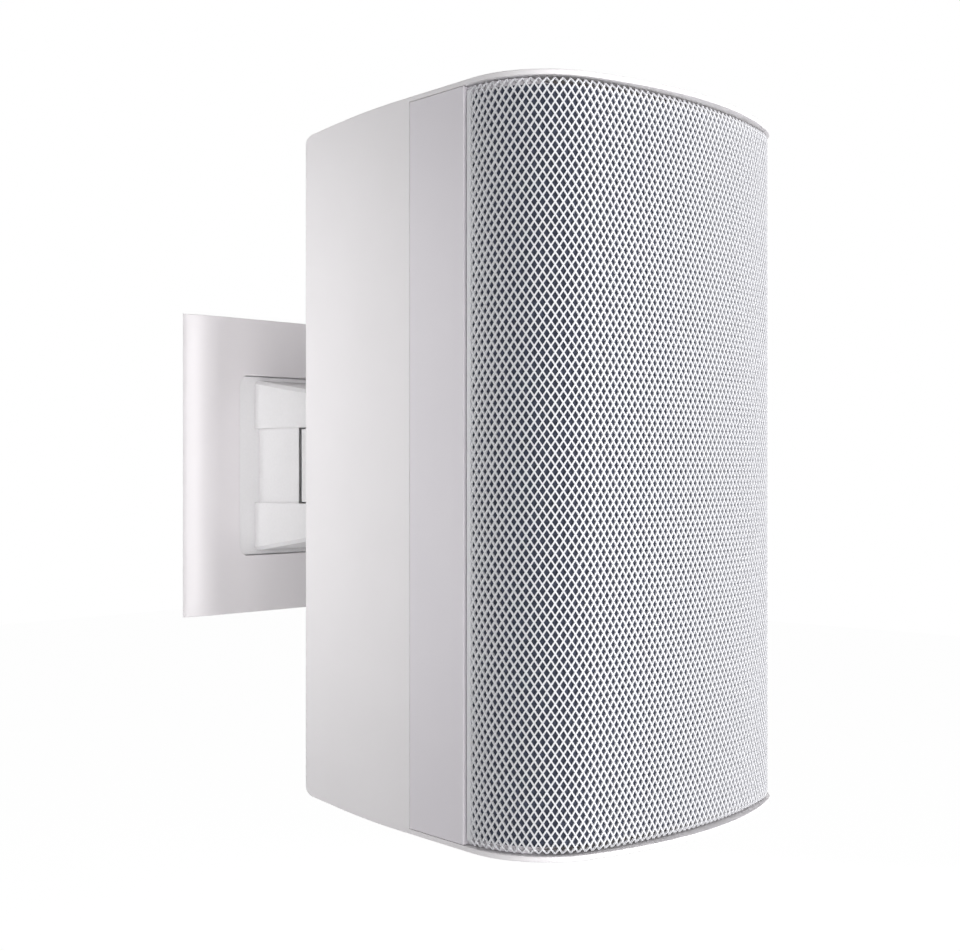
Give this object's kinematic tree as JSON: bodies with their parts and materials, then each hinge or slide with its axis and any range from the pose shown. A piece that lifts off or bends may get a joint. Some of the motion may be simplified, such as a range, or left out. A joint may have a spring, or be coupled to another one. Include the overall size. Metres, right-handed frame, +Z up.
{
  "type": "surface-mount speaker",
  "caption": "Wall-mounted two-way loudspeaker with a bowed diamond-mesh grille, moulded cabinet and a pan and tilt wall bracket.",
  "frame": {"origin": "centre of the wall bracket's back face, on the wall plane, at the cabinet's mid height", "axes": "+X to the right seen from the front, +Y into the wall, +Z up; the grille faces -Y"},
  "size_m": [0.2454, 0.378, 0.42],
  "materials": {
    "cabinet_plastic": "fine texture",
    "baffle_plastic": "fine texture",
    "mount_plastic": "smooth satin",
    "grille_paint": "powder coat",
    "mount_paint": "powder coat",
    "zinc_steel": "zinc plated",
    "motor_steel": "plated",
    "basket_paint": "satin black",
    "ferrite": "dull",
    "foam": "open cell",
    "cone": "matt",
    "rubber": "soft matt",
    "spider_cloth": "treated cloth",
    "copper": "enamelled wire",
    "black_plastic": "satin",
    "silk": "coated cloth",
    "board": "solder mask",
    "capacitor_film": "film sleeve",
    "resistor_body": "matt",
    "lamination": "varnished",
    "terminal_plastic": "satin",
    "nylon": "plain",
    "brass": "turned"
  },
  "bodies": {
    "wall_mount": {"wall_bracket": "zinc_steel", "wall_cover": "mount_plastic", "wall_fork": "mount_paint", "fork_bolts": "zinc_steel", "pan_bolt": "zinc_steel", "pan_nut": "zinc_steel"},
    "pan_head": {"pan_knuckle": "mount_paint", "pan_washers": "nylon", "tilt_washers": "nylon"},
    "speaker": {"speaker_bracket": "mount_paint", "tilt_bolt": "zinc_steel", "tilt_nut": "zinc_steel", "bracket_screws": "zinc_steel", "bracket_inserts": "brass", "rear_cabinet": "cabinet_plastic", "front_baffle": "baffle_plastic", "baffle_screws": "zinc_steel", "grille": "grille_paint", "grille_foam": "foam", "woofer_basket": "basket_paint", "woofer_gasket": "rubber", "woofer_screws": "zinc_steel", "woofer_surround": "rubber", "woofer_spider": "spider_cloth", "woofer_top_plate": "motor_steel", "woofer_magnet": "ferrite", "woofer_back_plate": "motor_steel", "tweeter_waveguide": "black_plastic", "tweeter_dome": "silk", "tweeter_motor": "motor_steel", "tweeter_screws": "zinc_steel", "port_tube_left": "black_plastic", "port_tube_right": "black_plastic", "crossover_board": "board", "crossover_screws": "zinc_steel", "crossover_coil_large": "copper", "crossover_coil_small": "copper", "crossover_capacitor_large": "capacitor_film", "crossover_capacitor_small": "capacitor_film", "crossover_resistor": "resistor_body", "transformer_core": "lamination", "transformer_winding": "copper", "transformer_screws": "zinc_steel", "input_panel": "black_plastic", "panel_screws": "zinc_steel", "terminal_block": "terminal_plastic", "tap_switch": "black_plastic"},
    "woofer_moving": {"woofer_cone": "cone", "woofer_dust_cap": "cone", "voice_coil": "copper"},
    "tap_selector": {"tap_knob": "black_plastic"}
  },
  "joints": [
    {"name": "pan", "type": "hinge", "parent": "wall_mount", "child": "pan_head", "pos_m": [0, -0.08, 0], "axis": [0, 0, 1], "range_deg": [-45, 45]},
    {"name": "tilt", "type": "hinge", "parent": "pan_head", "child": "speaker", "pos_m": [0, -0.1195, 0], "axis": [1, 0, 0], "range_deg": [-15, 15]},
    {"name": "woofer_stroke", "type": "slide", "parent": "speaker", "child": "woofer_moving", "axis": [0, -1, 0], "range_m": [-0.004, 0.004], "stiffness_N_per_m": 2200, "deforming": ["woofer_surround", "woofer_spider"]},
    {"name": "tap_turn", "type": "hinge", "parent": "speaker", "child": "tap_selector", "pos_m": [0.024, -0.1565, -0.122], "axis": [0, 1, 0], "range_deg": [-75, 75]}
  ]
}
